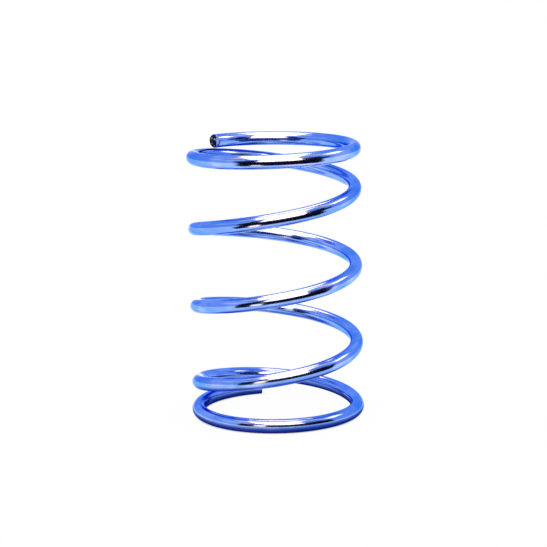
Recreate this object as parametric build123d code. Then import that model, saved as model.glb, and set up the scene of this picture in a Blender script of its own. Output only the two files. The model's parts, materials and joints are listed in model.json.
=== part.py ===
from build123d import *
from math import cos, radians, sin, tau
import os

# Round-wire compression spring with closed, unground ends, wound right-handed from one length of wire.
# The frame's origin is on the coil's axis, in the plane that the lowest turn stands on.
# +Z runs up the axis, from the lower end to the upper one.
# -Y is the front: both sheared tips of the wire lie on the +Y side, at the back.
# Lengths are in millimetres, angles in degrees, and pitches in millimetres of rise for each turn.

# Driving dimensions
WIRE_DIAMETER = 2.0
OUTER_DIAMETER = 25.0
FREE_LENGTH = 40.0
TOTAL_TURNS = 5.1
LOWER_TIP_AZIMUTH = 102.5

# The winding: turns counted from the lower tip, and the pitch that the coiler has reached there.
# The lower turn lies flat, then opens sharply, so that it closes on its own tip after one turn.
LOWER_END = [(0.00, 0.0), (0.66, 0.0), (0.80, 7.4), (1.00, 7.8)]
ACTIVE_FROM = 1.32
ACTIVE_TO = TOTAL_TURNS - 1.12
# The upper turn closes at under one wire diameter a turn, and its tip bears on the turn below.
UPPER_END = [(TOTAL_TURNS - 0.83, 2.0), (TOTAL_TURNS, 1.0)]

# The sheared tips: a straight stub that the cropping blade leaves, with its inner side rolled off.
TIP_LENGTH = 0.5
ROLL_OFF_WIDTH = 0.5
ROLL_OFF_LENGTH = 0.2

CENTRELINE_POINTS = 180

wire_radius = WIRE_DIAMETER / 2
coil_radius = (OUTER_DIAMETER - WIRE_DIAMETER) / 2
tip_turns = TIP_LENGTH / (tau * coil_radius)


def winding(active_pitch):
    """The whole winding plan, from tip to tip, for one pitch of the active turns."""
    return LOWER_END + [(ACTIVE_FROM, active_pitch), (ACTIVE_TO, active_pitch)] + UPPER_END


def rise_to(turn, plan):
    """Height gained from the lower tip to a turn, where the pitch runs straight between the plan's points."""
    height = 0.0
    for (start, start_pitch), (end, end_pitch) in zip(plan, plan[1:]):
        if turn <= start:
            break
        reached = min(turn, end)
        pitch_there = start_pitch + (end_pitch - start_pitch) * (reached - start) / (end - start)
        height += (reached - start) * (start_pitch + pitch_there) / 2
    return height


def active_pitch_for(free_length):
    """The pitch of the active turns that brings the spring to its free length."""
    rise_at_zero = rise_to(TOTAL_TURNS, winding(0.0))
    rise_for_each = rise_to(TOTAL_TURNS, winding(1.0)) - rise_at_zero
    return (free_length - WIRE_DIAMETER - rise_at_zero) / rise_for_each


def centreline_point(turn, plan):
    """The wire's centre at a turn."""
    angle = radians(LOWER_TIP_AZIMUTH) + turn * tau
    return Vector(
        coil_radius * cos(angle),
        coil_radius * sin(angle),
        wire_radius + rise_to(turn, plan),
    )


def wound_centreline(plan):
    """The wire's centreline, less the straight stubs at its two tips."""
    first, last = tip_turns, TOTAL_TURNS - tip_turns
    spans = CENTRELINE_POINTS - 1
    turns = [first + (last - first) * i / spans for i in range(CENTRELINE_POINTS)]
    return Spline(*[centreline_point(turn, plan) for turn in turns])


def sheared_tip(foot, outward):
    """The stub from a foot on the centreline to the sheared face, with the roll-off on the coil's inner side."""
    inward = Vector(-foot.X, -foot.Y, 0)
    inward -= outward * inward.dot(outward)
    seat = Plane(origin=foot, x_dir=inward, z_dir=outward)
    stub = extrude(seat * Circle(wire_radius), amount=TIP_LENGTH)
    side = seat * Plane.XZ
    roll_off = side * Polygon(
        (wire_radius - ROLL_OFF_WIDTH, TIP_LENGTH),
        (wire_radius, TIP_LENGTH - ROLL_OFF_LENGTH),
        (wire_radius, TIP_LENGTH),
        align=None,
    )
    return stub - extrude(roll_off, amount=wire_radius, both=True)


def spring_coil(plan):
    """The whole spring as one solid: the wound wire with a sheared tip at each end."""
    centreline = wound_centreline(plan)
    lower_direction, upper_direction = centreline % 0, centreline % 1
    section = Plane(origin=centreline @ 0, z_dir=lower_direction) * Circle(wire_radius)
    wire = sweep(section, path=centreline)
    lower_tip = sheared_tip(centreline @ 0, -lower_direction)
    upper_tip = sheared_tip(centreline @ 1, upper_direction)
    return wire + lower_tip + upper_tip


def main():
    """Works out the winding, checks that the end turns close without biting, and writes the spring's STEP."""
    plan = winding(active_pitch_for(FREE_LENGTH))
    lower_closing = rise_to(1.0, plan)
    upper_closing = rise_to(TOTAL_TURNS, plan) - rise_to(TOTAL_TURNS - 1.0, plan)
    spring = spring_coil(plan)
    print(f"active pitch {active_pitch_for(FREE_LENGTH):.2f}, closing rises {lower_closing:.3f} {upper_closing:.3f}")
    print(f"solids {len(spring.solids())}, volume {spring.volume:.1f}, valid {spring.is_valid}")
    os.makedirs("parts", exist_ok=True)
    export_step(spring, "parts/spring_coil.step")


main()
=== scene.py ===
"""A wound wire spring in blue lacquer, on a pale table under soft studio light.

Every length here is in metres, in the spring's own frame: +Z up the coil's axis, -Y to the front.
"""

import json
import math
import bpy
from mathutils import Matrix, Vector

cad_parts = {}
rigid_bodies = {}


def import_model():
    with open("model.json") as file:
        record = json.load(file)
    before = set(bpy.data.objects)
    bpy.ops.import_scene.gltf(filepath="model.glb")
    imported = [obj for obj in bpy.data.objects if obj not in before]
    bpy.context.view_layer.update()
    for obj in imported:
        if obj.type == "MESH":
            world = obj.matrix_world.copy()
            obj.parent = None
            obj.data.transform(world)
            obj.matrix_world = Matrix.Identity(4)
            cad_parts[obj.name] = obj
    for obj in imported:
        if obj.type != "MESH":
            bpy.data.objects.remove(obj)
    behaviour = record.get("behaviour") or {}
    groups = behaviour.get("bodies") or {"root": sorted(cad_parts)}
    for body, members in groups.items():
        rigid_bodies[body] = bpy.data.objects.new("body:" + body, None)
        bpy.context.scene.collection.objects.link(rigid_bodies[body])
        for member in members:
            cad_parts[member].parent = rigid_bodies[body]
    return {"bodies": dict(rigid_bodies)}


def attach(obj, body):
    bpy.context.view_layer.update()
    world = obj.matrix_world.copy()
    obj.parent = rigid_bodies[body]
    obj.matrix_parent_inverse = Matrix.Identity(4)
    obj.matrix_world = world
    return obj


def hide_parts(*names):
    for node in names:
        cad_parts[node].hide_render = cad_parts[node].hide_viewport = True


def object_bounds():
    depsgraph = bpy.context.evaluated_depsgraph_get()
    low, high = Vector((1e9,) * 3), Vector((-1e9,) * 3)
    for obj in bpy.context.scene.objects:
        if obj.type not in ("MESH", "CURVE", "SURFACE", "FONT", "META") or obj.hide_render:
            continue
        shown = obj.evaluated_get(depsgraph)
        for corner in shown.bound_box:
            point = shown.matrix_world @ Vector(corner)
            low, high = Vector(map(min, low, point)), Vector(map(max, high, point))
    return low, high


bl_info = {
    "name": "Wound Wire Spring",
    "version": (1, 0, 0),
    "blender": (4, 5, 0),
    "location": "View3D > Sidebar > Spring",
    "description": "Winds a compression spring from lacquered round wire and lights it",
    "category": "Add Mesh",
}

import bmesh
import bpy
from bpy.props import FloatProperty, FloatVectorProperty, IntProperty, PointerProperty
from mathutils import Matrix, Vector, noise

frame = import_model()
CAD_LOW, CAD_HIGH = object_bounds()
SPRING_NODE = "spring_coil"
SPRING_BODY = next(iter(frame["bodies"]))
MM = 0.001
STRAIGHT = "straight_wire"
WORN = "worn_rim"


# ---------------------------------------------------------------- settings


class SpringSizes(bpy.types.PropertyGroup):
    """What the spring is wound to."""

    wire: FloatProperty(
        name="Wire diameter", description="Thickness of the round wire",
        default=2.0 * MM, min=0.1 * MM, unit="LENGTH", precision=5,
    )
    outer: FloatProperty(
        name="Outer diameter", description="Width over the coil",
        default=CAD_HIGH.x - CAD_LOW.x, min=MM, unit="LENGTH", precision=5,
    )
    free_length: FloatProperty(
        name="Free length", description="Height of the unloaded spring",
        default=CAD_HIGH.z - CAD_LOW.z, min=MM, unit="LENGTH", precision=5,
    )
    turns: FloatProperty(
        name="Turns", description="Turns of wire from tip to tip", default=5.1, min=3.0,
    )
    lower_tip: FloatProperty(
        name="Lower tip", description="Where the lower tip lies, counted round from +X towards +Y",
        default=math.radians(102.5), subtype="ANGLE",
    )
    stub: FloatProperty(
        name="Tip stub", description="Straight length that the cropping blade leaves at each tip",
        default=0.5 * MM, min=0.0, unit="LENGTH", precision=5,
    )
    roll_off_width: FloatProperty(
        name="Roll-off width", description="How far the burnished land reaches across the sheared face",
        default=0.5 * MM, min=0.0, unit="LENGTH", precision=5,
    )
    roll_off_length: FloatProperty(
        name="Roll-off length", description="How far the burnished land falls back along the wire",
        default=0.2 * MM, min=0.0, unit="LENGTH", precision=5,
    )
    rings_a_turn: IntProperty(
        name="Rings a turn", description="Mesh rings for each turn of wire", default=120, min=24,
    )
    sides: IntProperty(
        name="Sides", description="Mesh sides round the wire", default=64, min=12,
    )


class SpringFinish(bpy.types.PropertyGroup):
    """What the wire is finished in."""

    blue: FloatVectorProperty(
        name="Lacquer", description="Blue of the metallic lacquer",
        subtype="COLOR", size=3, min=0.0, max=1.0, default=(0.10, 0.235, 0.86),
    )
    pale_blue: FloatVectorProperty(
        name="Thin lacquer", description="Blue where the lacquer has run thin",
        subtype="COLOR", size=3, min=0.0, max=1.0, default=(0.27, 0.39, 0.97),
    )
    deep_blue: FloatVectorProperty(
        name="Thick lacquer", description="Blue where the lacquer has run thick",
        subtype="COLOR", size=3, min=0.0, max=1.0, default=(0.065, 0.18, 0.80),
    )
    bare_steel: FloatVectorProperty(
        name="Broken steel", description="Grey of the torn steel on the sheared faces",
        subtype="COLOR", size=3, min=0.0, max=1.0, default=(0.3, 0.5, 1.0),
    )
    scale: FloatVectorProperty(
        name="Shear scale", description="Dark oxide in the hollows of the sheared faces",
        subtype="COLOR", size=3, min=0.0, max=1.0, default=(0.001, 0.004, 0.05),
    )
    gloss: FloatProperty(
        name="Roughness", description="Roughness of the lacquered metal",
        default=0.13, min=0.0, max=1.0, subtype="FACTOR",
    )


class StudioStage(bpy.types.PropertyGroup):
    """How the spring is seen and lit."""

    table: FloatVectorProperty(
        name="Table", description="Colour of the table top",
        subtype="COLOR", size=3, min=0.0, max=1.0, default=(0.9, 0.91, 0.93),
    )
    lens: FloatProperty(name="Lens", description="Focal length in millimetres", default=119.3, min=10.0)
    distance: FloatProperty(
        name="Distance", description="From the camera to the spring", default=0.2608, unit="LENGTH",
    )
    elevation: FloatProperty(
        name="Elevation", description="Camera's height above the horizon",
        default=math.radians(10.5), subtype="ANGLE",
    )
    roll: FloatProperty(
        name="Roll", description="Turn of the camera about its own line of sight",
        default=math.radians(-1.1), subtype="ANGLE",
    )
    aim: FloatVectorProperty(
        name="Aim", description="Point that the camera looks at",
        subtype="TRANSLATION", size=3, precision=5, default=(-0.32 * MM, 0.0, 20.56 * MM),
    )
    softbox: FloatProperty(
        name="Softbox", description="Brightness of the overhead softbox as the metal shows it",
        default=16.0, min=0.0,
    )


# ---------------------------------------------------------------- the winding


# Turns counted from a tip, and the rise for each turn that the coiler has reached there.
LOWER_END = [(0.00, 0.0), (0.66, 0.0), (0.80, 7.4 * MM), (1.00, 7.8 * MM)]
ACTIVE_FROM = 1.32
ACTIVE_TO_BEFORE_TIP = 1.12
UPPER_END_BEFORE_TIP = [(0.83, 2.0 * MM), (0.0, 1.0 * MM)]


def winding(sizes):
    """The coiler's plan: turns counted from the lower tip, and the rise for each turn there."""
    turns = sizes.turns
    upper_end = [(turns - before_tip, pitch) for before_tip, pitch in UPPER_END_BEFORE_TIP]

    def plan(active):
        return LOWER_END + [(ACTIVE_FROM, active), (turns - ACTIVE_TO_BEFORE_TIP, active)] + upper_end

    at_zero, at_one = rise_to(turns, plan(0.0)), rise_to(turns, plan(1.0))
    return plan((sizes.free_length - sizes.wire - at_zero) / (at_one - at_zero))


def pitch_at(turn, plan):
    """The rise for each turn at one place on the wire."""
    for (start, start_pitch), (end, end_pitch) in zip(plan, plan[1:]):
        if turn <= end:
            share = (turn - start) / (end - start)
            return start_pitch + (end_pitch - start_pitch) * share
    return plan[-1][1]


def rise_to(turn, plan):
    """Height gained from the lower tip to a turn."""
    height = 0.0
    for (start, start_pitch), (end, end_pitch) in zip(plan, plan[1:]):
        if turn <= start:
            break
        reached = min(turn, end)
        there = start_pitch + (end_pitch - start_pitch) * (reached - start) / (end - start)
        height += (reached - start) * (start_pitch + there) / 2
    return height


class Station:
    """One place on the wire's centreline, with its own axes: outward, up and along."""

    def __init__(self, turn, plan, sizes):
        coil_radius = (sizes.outer - sizes.wire) / 2
        angle = sizes.lower_tip + turn * math.tau
        self.outward = Vector((math.cos(angle), math.sin(angle), 0.0))
        self.centre = self.outward * coil_radius
        self.centre.z = sizes.wire / 2 + rise_to(turn, plan)
        sideways = Vector((-math.sin(angle), math.cos(angle), 0.0)) * coil_radius
        self.along = (sideways + Vector((0, 0, pitch_at(turn, plan) / math.tau))).normalized()
        self.up = self.outward.cross(self.along)
        self.run = turn * math.tau * coil_radius

    def on_section(self, across, height, ahead=0.0):
        """A point across the section, outward and up from the centre, and ahead along the wire."""
        return self.centre + self.outward * across + self.up * height + self.along * ahead


# ---------------------------------------------------------------- the wire's mesh


class WireMesh:
    """Grows the wire ring by ring. Each point also keeps its place on the straightened wire."""

    def __init__(self, sizes):
        self.sizes = sizes
        self.radius = sizes.wire / 2
        self.bm = bmesh.new()
        self.straight = self.bm.verts.layers.float_vector.new(STRAIGHT)
        self.worn = self.bm.verts.layers.float.new(WORN)
        self.angles = [math.tau * i / sizes.sides for i in range(sizes.sides)]

    def point(self, station, across, height, ahead=0.0, worn=0.0):
        vert = self.bm.verts.new(station.on_section(across, height, ahead))
        vert[self.straight] = Vector((across, height, station.run + ahead))
        vert[self.worn] = worn
        return vert

    def ring(self, station, ahead=lambda across, height: 0.0, radius=None, worn=0.0):
        """A closed ring of points round the section."""
        radius = self.radius if radius is None else radius
        made = []
        for angle in self.angles:
            across, height = radius * math.cos(angle), radius * math.sin(angle)
            made.append(self.point(station, across, height, ahead(across, height), worn))
        return made

    def skin(self, first, second, material=lambda face: 0):
        """Quads between two rings, the first one nearer the lower tip."""
        count = len(first)
        for i in range(count):
            j = (i + 1) % count
            face = self.bm.faces.new((first[i], first[j], second[j], second[i]))
            face.smooth = True
            face.material_index = material(face)

    def finish(self, name):
        mesh = bpy.data.meshes.new(name)
        bmesh.ops.recalc_face_normals(self.bm, faces=self.bm.faces)
        self.bm.to_mesh(mesh)
        self.bm.free()
        return mesh


class ShearedTip:
    """The form of a cropped end: a torn face with a burnished land rolled off on the coil's inner side."""

    RIM = 0.07 * MM
    RIM_STEPS = 4
    STUB_STEPS = 10
    FACE_STEPS = 22
    TEAR_DEPTH = 0.07 * MM
    TEAR_SIZE = 0.34 * MM
    RIDGE_HEIGHT = 0.6
    RIDGE_PLACE = 0.15
    RIDGE_WIDTH = 0.22
    LACQUER, TORN = 0, 1

    def __init__(self, wire_mesh, station, side):
        self.wire_mesh = wire_mesh
        self.sizes = wire_mesh.sizes
        self.station = station
        self.side = side
        self.radius = wire_mesh.radius

    def fall(self, across):
        """How far the burnished land has fallen back there, with the coil's inner side at -radius."""
        edge = self.radius - self.sizes.roll_off_width
        share = max(0.0, -across - edge) / self.sizes.roll_off_width
        return self.sizes.roll_off_length * min(1.0, share)

    def tear(self, across, height):
        """Relief of the torn steel, which dies out at the land and at the rim."""
        place = Vector((across, height, self.side * self.sizes.stub)) / self.TEAR_SIZE
        rough = noise.fractal(place, 0.7, 2.1, 5)
        from_rim = 1 - math.hypot(across, height) / self.radius
        from_land = (self.radius - self.sizes.roll_off_width + across) / self.radius
        fade = max(0.0, min(1.0, 5 * from_rim, 4 * from_land))
        from_ridge = (across / self.radius - self.RIDGE_PLACE) / self.RIDGE_WIDTH
        ridge = self.RIDGE_HEIGHT * math.exp(-(from_ridge**2))
        return self.TEAR_DEPTH * fade * (rough - 0.35 + ridge)

    def reach(self, share, back=0.0):
        """How far ahead of the foot a ring lies at a share of the stub, held back at the rim's rounding."""
        return lambda across, height: self.side * (share * (self.sizes.stub - self.fall(across)) - back)

    def stub_rings(self):
        """Rings from just past the foot to the outer edge of the face, round the rolled rim."""
        made = []
        level = 1 - self.RIM / self.sizes.stub
        for step in range(1, self.STUB_STEPS + 1):
            share = level * step / self.STUB_STEPS
            made.append(self.wire_mesh.ring(self.station, self.reach(share), worn=share**6))
        for step in range(1, self.RIM_STEPS + 1):
            turn = math.pi / 2 * step / self.RIM_STEPS
            inset, back = self.RIM * (1 - math.cos(turn)), self.RIM * (1 - math.sin(turn))
            made.append(
                self.wire_mesh.ring(self.station, self.reach(1.0, back), self.radius - inset, worn=1.0)
            )
        return made

    def face_material(self, face):
        """Lacquer on the burnished land, torn steel on the rest."""
        centre = face.calc_center_median() - self.station.centre
        inward = -centre.dot(self.station.outward)
        return self.LACQUER if inward > self.radius - self.sizes.roll_off_width else self.TORN

    def close(self, rim):
        """The sheared face: rings that shrink to a middle point."""
        flat = self.radius - self.RIM
        previous = rim

        def ahead(across, height):
            return self.side * (self.sizes.stub - self.fall(across) + self.tear(across, height))

        for step in range(1, self.FACE_STEPS):
            radius = flat * (1 - step / self.FACE_STEPS)
            current = self.wire_mesh.ring(self.station, ahead, radius)
            self.wire_mesh.skin(previous, current, self.face_material)
            previous = current
        middle = self.wire_mesh.point(self.station, 0.0, 0.0, ahead(0.0, 0.0))
        for i in range(len(previous)):
            face = self.wire_mesh.bm.faces.new((previous[i - 1], previous[i], middle))
            face.smooth = True
            face.material_index = self.TORN


def wind_wire(sizes):
    """The whole wire as one closed mesh, from sheared tip to sheared tip."""
    plan = winding(sizes)
    stub_turns = sizes.stub / (math.pi * (sizes.outer - sizes.wire))
    first, last = stub_turns, sizes.turns - stub_turns
    count = round((last - first) * sizes.rings_a_turn)
    stations = [Station(first + (last - first) * i / count, plan, sizes) for i in range(count + 1)]
    wire = WireMesh(sizes)
    lower = ShearedTip(wire, stations[0], -1)
    upper = ShearedTip(wire, stations[-1], 1)
    lower_stub, upper_stub = lower.stub_rings(), upper.stub_rings()
    rings = lower_stub[::-1] + [wire.ring(station) for station in stations] + upper_stub
    for near, far in zip(rings, rings[1:]):
        wire.skin(near, far)
    lower.close(lower_stub[-1])
    upper.close(upper_stub[-1])
    return wire.finish("spring_wire")


# ---------------------------------------------------------------- shaders


class Term:
    """A shader socket that can be used in Python sums."""

    def __init__(self, shader, socket):
        self.shader = shader
        self.socket = socket

    def _math(self, operation, first, second):
        return self.shader.node("ShaderNodeMath", {"operation": operation}, {0: first, 1: second})

    def __add__(self, other):
        return self._math("ADD", self, other)

    def __radd__(self, other):
        return self._math("ADD", other, self)

    def __sub__(self, other):
        return self._math("SUBTRACT", self, other)

    def __rsub__(self, other):
        return self._math("SUBTRACT", other, self)

    def __mul__(self, other):
        return self._math("MULTIPLY", self, other)

    def __rmul__(self, other):
        return self._math("MULTIPLY", other, self)

    def stretched(self, x, y, z):
        """A vector with each axis scaled by its own amount."""
        return self.shader.node("ShaderNodeVectorMath", {"operation": "MULTIPLY"}, {0: self, 1: (x, y, z)})


class Shader:
    """Builds a node tree for a material or a world."""

    def __init__(self, owner):
        owner.use_nodes = True
        self.tree = owner.node_tree
        self.tree.nodes.clear()

    def node(self, kind, settings=None, inputs=None, output=0):
        """Adds a node: its settings first, then the values or links of its sockets. Gives one output."""
        made = self.tree.nodes.new(kind)
        for name, value in (settings or {}).items():
            if name == "stops":
                self._set_stops(made.color_ramp, value)
            else:
                setattr(made, name, value)
        for name, value in (inputs or {}).items():
            if isinstance(value, Term):
                self.tree.links.new(value.socket, made.inputs[name])
            else:
                made.inputs[name].default_value = value
        return Term(self, made.outputs[output]) if len(made.outputs) else None

    @staticmethod
    def _set_stops(ramp, stops):
        """Puts grey stops, each a place and a level, on a ramp."""
        while len(ramp.elements) < len(stops):
            ramp.elements.new(1.0)
        for element, (place, level) in zip(ramp.elements, stops):
            element.position = place
            element.color = (level, level, level, 1.0)

    def attribute(self, name, output="Vector"):
        return self.node("ShaderNodeAttribute", {"attribute_name": name}, output=output)

    def grain(self, place, scale, detail=3.0, roughness=0.5):
        """Noise from 0 to 1 at a place."""
        return self.node(
            "ShaderNodeTexNoise", {"noise_dimensions": "3D"},
            {"Vector": place, "Scale": scale, "Detail": detail, "Roughness": roughness}, "Fac",
        )

    def ramp(self, value, stops):
        return self.node("ShaderNodeValToRGB", {"stops": stops}, {"Fac": value})

    def mixed(self, share, first, second):
        """One colour turning into another."""
        mix = self.tree.nodes.new("ShaderNodeMix")
        mix.data_type = "RGBA"
        share_in, first_in, second_in = mix.inputs[0], mix.inputs[6], mix.inputs[7]
        for value, socket in ((share, share_in), (first, first_in), (second, second_in)):
            if isinstance(value, Term):
                self.tree.links.new(value.socket, socket)
            else:
                socket.default_value = value
        return Term(self, mix.outputs[2])

    def bump(self, height, distance):
        return self.node("ShaderNodeBump", {}, {"Height": height, "Distance": distance, "Strength": 1.0})

    def is_ray(self, kind):
        """1 for the rays of one kind, and 0 for the rest."""
        return self.node("ShaderNodeLightPath", {}, {}, f"Is {kind} Ray")

    def glow(self, colour, strength):
        return self.node("ShaderNodeEmission", {}, {"Color": opaque(colour), "Strength": strength})

    def blend(self, share, first, second):
        """One whole shader turning into another."""
        return self.node("ShaderNodeMixShader", {}, {0: share, 1: first, 2: second})

    def surface(self, shader_output):
        self.node("ShaderNodeOutputMaterial", {}, {"Surface": shader_output})


def opaque(colour):
    """A colour with full alpha."""
    return (*colour[:3], 1.0)


# Grain sizes, as cells for each metre of the straightened wire
DRAW_LINES = 5200.0
ORANGE_PEEL = 550.0
CLOUDS = 500.0
TORN_GRAINS = 2100.0
TORN_FLECKS = 9000.0
LACQUER_RELIEF = 0.013 * MM
TORN_RELIEF = 0.03 * MM
LIMB_TINT = (0.38, 0.56, 1.0, 1.0)


def lacquered_wire(finish):
    """Blue metallic lacquer over drawn wire, whose draw lines show through it."""
    material = bpy.data.materials.new("blue_lacquered_wire")
    shader = Shader(material)
    place = shader.attribute(STRAIGHT)
    draw_lines = shader.grain(place.stretched(1.0, 1.0, 0.02), DRAW_LINES, 2.0)
    orange_peel = shader.grain(place.stretched(1.0, 1.0, 0.8), ORANGE_PEEL, 1.0)
    clouds = shader.grain(place.stretched(1.0, 1.0, 0.45), CLOUDS, 4.0)
    worn = shader.attribute(WORN, "Fac")
    thick = shader.ramp(clouds, [(0.42, 0.0), (0.68, 1.0)])
    thin = shader.ramp(clouds + draw_lines * 0.4, [(0.50, 1.0), (0.70, 0.0)])
    blue = shader.mixed(thick * 0.7, opaque(finish.blue), opaque(finish.deep_blue))
    blue = shader.mixed(thin * 0.6, blue, opaque(finish.pale_blue))
    rim = shader.ramp(worn * 0.5 + orange_peel * 0.25, [(0.475, 0.0), (0.525, 1.0)])
    blue = shader.mixed(rim * 0.6, blue, opaque(finish.scale))
    roughness = finish.gloss - 0.03 + draw_lines * 0.05 + orange_peel * 0.03 + worn * 0.12
    relief = draw_lines * 0.04 + orange_peel * 0.96
    shader.surface(shader.node("ShaderNodeBsdfPrincipled", {}, {
        "Base Color": blue,
        "Metallic": 1.0,
        "Roughness": roughness,
        "Specular Tint": LIMB_TINT,
        "Coat Weight": 0.03,
        "Coat Roughness": 0.1,
        "Coat IOR": 1.5,
        "Normal": shader.bump(relief, LACQUER_RELIEF),
    }))
    return material


def torn_steel(finish):
    """The broken face: dark scale in the hollows and bright torn grains on the crests."""
    material = bpy.data.materials.new("torn_steel")
    shader = Shader(material)
    place = shader.attribute(STRAIGHT)
    grains = shader.grain(place, TORN_GRAINS, 4.0, 0.6)
    flecks = shader.grain(place, TORN_FLECKS, 2.0)
    bright = shader.ramp(grains * 0.8 + flecks * 0.2, [(0.57, 0.0), (0.62, 1.0)])
    shader.surface(shader.node("ShaderNodeBsdfPrincipled", {}, {
        "Base Color": shader.mixed(bright, opaque(finish.scale), opaque(finish.bare_steel)),
        "Metallic": 1.0,
        "Roughness": 0.5 - bright * 0.22,
        "Normal": shader.bump(grains, TORN_RELIEF),
    }))
    return material


# ---------------------------------------------------------------- operators


class SPRING_OT_wind(bpy.types.Operator):
    """Winds the spring's wire, with its sheared tips, and lacquers it"""

    bl_idname = "spring.wind"
    bl_label = "Wind Spring"

    def execute(self, context):
        scene = context.scene
        spring = bpy.data.objects.new("spring_wire", wind_wire(scene.spring_sizes))
        scene.collection.objects.link(spring)
        spring.data.materials.append(lacquered_wire(scene.spring_finish))
        spring.data.materials.append(torn_steel(scene.spring_finish))
        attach(spring, SPRING_BODY)
        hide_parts(SPRING_NODE)
        return {"FINISHED"}


class SPRING_OT_stage(bpy.types.Operator):
    """Lays the table and sets the studio's light, its dark opening and the camera"""

    bl_idname = "spring.stage"
    bl_label = "Set Stage"

    TABLE_REACH = 8.0
    TABLE_GLOW = 0.965
    TABLE_SHINE = 0.7
    TABLE_WARMTH = 3.4
    WIRE_CIRCLE = 11.5 * MM
    CONTACT_REACH = 9.0 * MM
    # Painted shadow: near the wire's circle the table turns towards this dark blue, tinted like the wire's
    # own blue. Only the metal's reflections see it.
    PAINTED_SHADOW_DEPTH = 0.9
    PAINTED_CONTACT_SHADOW = (0.025, 0.085, 0.36)
    LIFTED_SIDE = math.radians(47.0)
    WARM_WHITE = (1.0, 0.72, 0.36)
    LAMP_WHITE = (1.0, 0.42, 0.14)
    NIGHT_BLUE = (0.35, 0.35, 1.0)
    NIGHT_GLOW = 0.02
    SKY_DIFFUSE = 1.08
    SKY_GLOSSY = 1.0
    SKY_CAMERA = 1.0
    WALL = 0.3
    NEAR_WALL = 0.04
    CARD_STEPS = 32

    def execute(self, context):
        stage = context.scene.studio_stage
        self.table(context, stage)
        self.sky(context)
        for card in self.cards(stage):
            context.scene.collection.objects.link(card)
        self.camera(context, stage)
        context.scene.view_settings.view_transform = "Standard"
        return {"FINISHED"}

    def table(self, context, stage):
        """A wide flat table top."""
        sides = [(-1, -1), (1, -1), (1, 1), (-1, 1)]
        corners = [(x * self.TABLE_REACH, y * self.TABLE_REACH, CAD_LOW.z) for x, y in sides]
        mesh = bpy.data.meshes.new("table_top")
        mesh.from_pydata(corners, [], [(0, 1, 2, 3)])
        mesh.materials.append(self.matte_table(stage))
        top = bpy.data.objects.new("table_top", mesh)
        context.scene.collection.objects.link(top)
        return top

    def matte_table(self, stage):
        """Nearly white to the camera, with a faint real shadow where the wire lies on it. The metal sees it
        glowing warm away from the wire, and sees a painted dark blue shadow near the wire's circle.
        """
        material = bpy.data.materials.new("matte_table")
        shader = Shader(material)
        place = shader.node("ShaderNodeNewGeometry", {}, {}, "Position").stretched(1.0, 1.0, 0.0)
        from_axis = shader.node("ShaderNodeVectorMath", {"operation": "LENGTH"}, {0: place}, "Value")
        past_circle = from_axis - self.WIRE_CIRCLE
        from_circle = shader.node("ShaderNodeMath", {"operation": "ABSOLUTE"}, {0: past_circle})
        from_wire = from_circle * (1 / self.CONTACT_REACH)
        lifted_side = (math.cos(self.LIFTED_SIDE), math.sin(self.LIFTED_SIDE), 0.0)
        under_rise = shader.node(
            "ShaderNodeVectorMath", {"operation": "DOT_PRODUCT"}, {0: place, 1: lifted_side}, "Value"
        )
        clear = shader.node("ShaderNodeMath", {"operation": "MAXIMUM"}, {
            0: shader.ramp(from_wire, [(0.0, 0.3), (0.085, 1.0)]),
            1: shader.ramp(under_rise * (1 / self.WIRE_CIRCLE), [(0.40, 0.0), (0.62, 1.0)]),
        })
        away_from_wire = shader.ramp(from_wire, [(0.12, 0.0), (1.0, 1.0)])
        glossy, seen = shader.is_ray("Glossy"), shader.is_ray("Camera")
        # Painted shadow that only the metal's reflections see. It is deepest at the wire's circle and fades
        # out with distance from it.
        shade = glossy * (1.0 - away_from_wire) * self.PAINTED_SHADOW_DEPTH
        colour = shader.mixed(shade, opaque(stage.table), opaque(self.PAINTED_CONTACT_SHADOW))
        matte = shader.node("ShaderNodeBsdfDiffuse", {}, {"Color": colour})
        warm = shader.glow(self.WARM_WHITE, self.TABLE_WARMTH)
        white = shader.glow((1, 1, 1), 1.0)
        mirrored = shader.blend(glossy * away_from_wire * self.TABLE_SHINE, matte, warm)
        shader.surface(shader.blend(seen * clear * self.TABLE_GLOW, mirrored, white))
        return material

    def sky(self, context):
        """An even white room: white to the camera, a shade darker in the metal."""
        world = bpy.data.worlds.new("white_room")
        context.scene.world = world
        shader = Shader(world)
        strength = (
            self.SKY_DIFFUSE
            + shader.is_ray("Camera") * (self.SKY_CAMERA - self.SKY_DIFFUSE)
            + shader.is_ray("Glossy") * (self.SKY_GLOSSY - self.SKY_DIFFUSE)
        )
        sky = shader.node("ShaderNodeBackground", {}, {"Color": (1, 1, 1, 1), "Strength": strength})
        shader.node("ShaderNodeOutputWorld", {}, {"Surface": sky})

    @staticmethod
    def card(name, points, faces, colour, strength):
        """A card that only the metal sees."""
        mesh = bpy.data.meshes.new(name)
        mesh.from_pydata(points, [], faces)
        made = bpy.data.objects.new(name, mesh)
        material = bpy.data.materials.new(name)
        shader = Shader(material)
        shader.surface(shader.glow(colour, strength))
        mesh.materials.append(material)
        made.visible_camera = False
        made.visible_diffuse = False
        made.visible_shadow = False
        return made

    def bowed(self, name, left, right, profile, colour, strength):
        """A card bent round the spring, between two bearings in degrees from the front towards +X."""
        steps, rows = self.CARD_STEPS, len(profile)
        points, faces = [], []
        for i in range(steps + 1):
            bearing = math.radians(left + (right - left) * i / steps)
            points += [(r * math.sin(bearing), -r * math.cos(bearing), height) for r, height in profile]
        for i in range(steps):
            for j in range(rows - 1):
                corner = i * rows + j
                faces.append((corner, corner + rows, corner + rows + 1, corner + 1))
        return self.card(name, points, faces, colour, strength)

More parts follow.
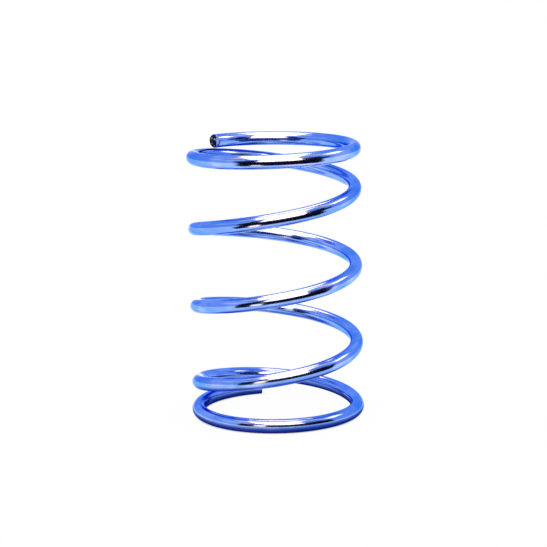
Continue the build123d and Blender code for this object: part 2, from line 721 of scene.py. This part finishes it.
    def cards(self, stage):
        """What the metal shows: softboxes in front and overhead, a window and a dark surround."""
        lamp, warm, bright = self.LAMP_WHITE, self.WARM_WHITE, stage.softbox
        night, dim = self.NIGHT_BLUE, self.NIGHT_GLOW
        wall, near = self.WALL, self.NEAR_WALL
        overhead = [(-0.24, -wall, 0.42), (0.18, -wall, 0.42), (0.10, wall, 0.42), (-0.09, wall, 0.42)]
        strip = [(-0.32, -0.07, 0.43), (0.42, -0.07, 0.43), (0.42, 0.01, 0.43), (-0.32, 0.01, 0.43)]
        surround = [(near, 0.021), (near, 0.0005), (0.31, 0.0005), (0.31, 0.24)]
        surround_end = [(0.31, 0.045), (0.31, 0.15)]
        gap = [(0.039, 0.003), (0.039, 0.017)]
        return [
            self.card("overhead_softbox", overhead, [(0, 1, 2, 3)], lamp, bright),
            self.card("overhead_strip", strip, [(0, 1, 2, 3)], lamp, 5.0),
            self.bowed("front_softbox", -21, 37, [(wall, 0.095), (wall, 0.42)], lamp, bright),
            self.bowed("window", 86, 118, [(wall, 0.24), (wall, 0.36)], lamp, bright),
            self.bowed("left_strip", -100, -40, [(wall, 0.18), (wall, 0.24)], warm, 2.5),
            self.bowed("dark_surround", -47, 66, surround, night, dim),
            self.bowed("surround_left_end", -53, -47, surround_end, night, dim),
            self.bowed("surround_right_end", 66, 76, surround_end, night, dim),
            self.bowed("gap_lamp", -28, -15, gap, lamp, 9.0),
        ]

    def camera(self, context, stage):
        """The camera in front and a little above, with a long lens."""
        data = bpy.data.cameras.new("studio_camera")
        data.lens = stage.lens
        data.clip_start, data.clip_end = 0.01, 50.0
        camera = bpy.data.objects.new("studio_camera", data)
        context.scene.collection.objects.link(camera)
        back = Vector((0, -math.cos(stage.elevation), math.sin(stage.elevation)))
        place = Vector(stage.aim) + back * stage.distance
        looking = back.to_track_quat("Z", "Y").to_matrix().to_4x4()
        camera.matrix_world = Matrix.Translation(place) @ looking @ Matrix.Rotation(stage.roll, 4, "Z")
        context.scene.camera = camera


class SPRING_PT_panel(bpy.types.Panel):
    """Lists the spring's settings and operators"""

    bl_idname = "SPRING_PT_panel"
    bl_label = "Wound Wire Spring"
    bl_space_type = "VIEW_3D"
    bl_region_type = "UI"
    bl_category = "Spring"

    def draw(self, context):
        scene = context.scene
        for settings in (scene.spring_sizes, scene.spring_finish, scene.studio_stage):
            box = self.layout.box()
            for name in settings.bl_rna.properties.keys():
                if name not in ("rna_type", "name"):
                    box.prop(settings, name)
        for operator in OPERATORS:
            self.layout.operator(operator.bl_idname)


SETTINGS = {"spring_sizes": SpringSizes, "spring_finish": SpringFinish, "studio_stage": StudioStage}
OPERATORS = (SPRING_OT_wind, SPRING_OT_stage)


def register():
    for name, group in SETTINGS.items():
        bpy.utils.register_class(group)
        setattr(bpy.types.Scene, name, PointerProperty(type=group))
    for cls in (*OPERATORS, SPRING_PT_panel):
        bpy.utils.register_class(cls)


def unregister():
    for cls in (SPRING_PT_panel, *reversed(OPERATORS)):
        bpy.utils.unregister_class(cls)
    for name, group in SETTINGS.items():
        delattr(bpy.types.Scene, name)
        bpy.utils.unregister_class(group)


def main():
    """Registers the add-on, winds the spring and sets the stage."""
    register()
    bpy.ops.spring.wind()
    bpy.ops.spring.stage()


if __name__ == "__main__":
    main()
